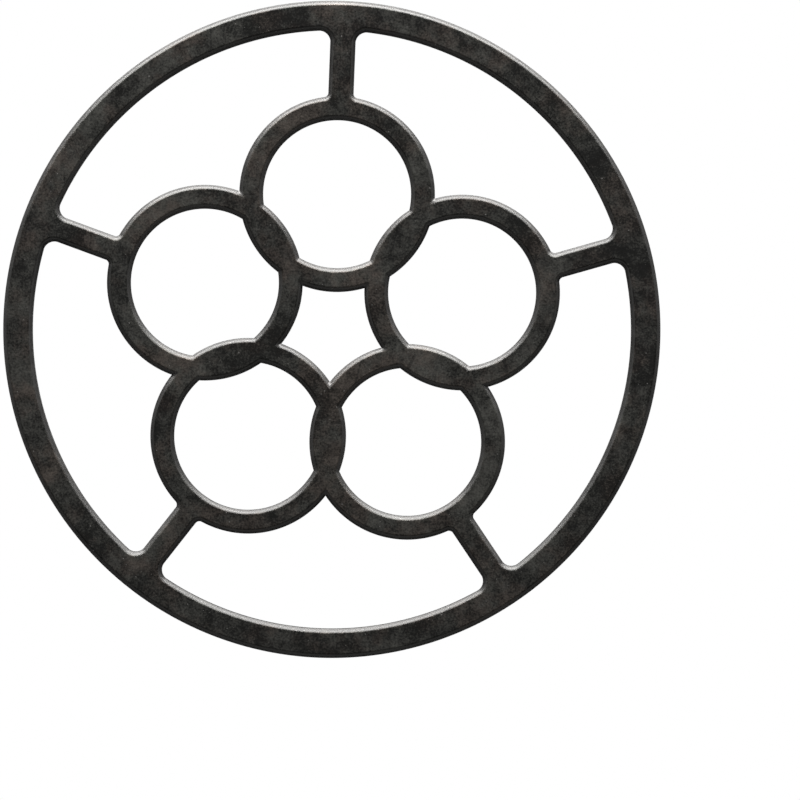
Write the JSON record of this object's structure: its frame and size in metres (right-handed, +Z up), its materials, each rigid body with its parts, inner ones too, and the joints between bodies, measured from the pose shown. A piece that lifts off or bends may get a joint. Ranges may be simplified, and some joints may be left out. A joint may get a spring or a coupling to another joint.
{
  "type": "wok ring",
  "caption": "Flat round cast-iron lattice ring with interlaced loops and radial spokes, laid on a hob's pan support to steady a wok or a small pan.",
  "frame": {"origin": "centre of the flat underside", "axes": "+Z up out of the bevelled top face, along the ring's axis; +Y from the centre through the middle of the first loop and its spoke"},
  "size_m": [0.14, 0.14, 0.004],
  "materials": {
    "cast_iron": "matte"
  },
  "bodies": {
    "root": {"wok_ring": "cast_iron"}
  },
  "joints": []
}
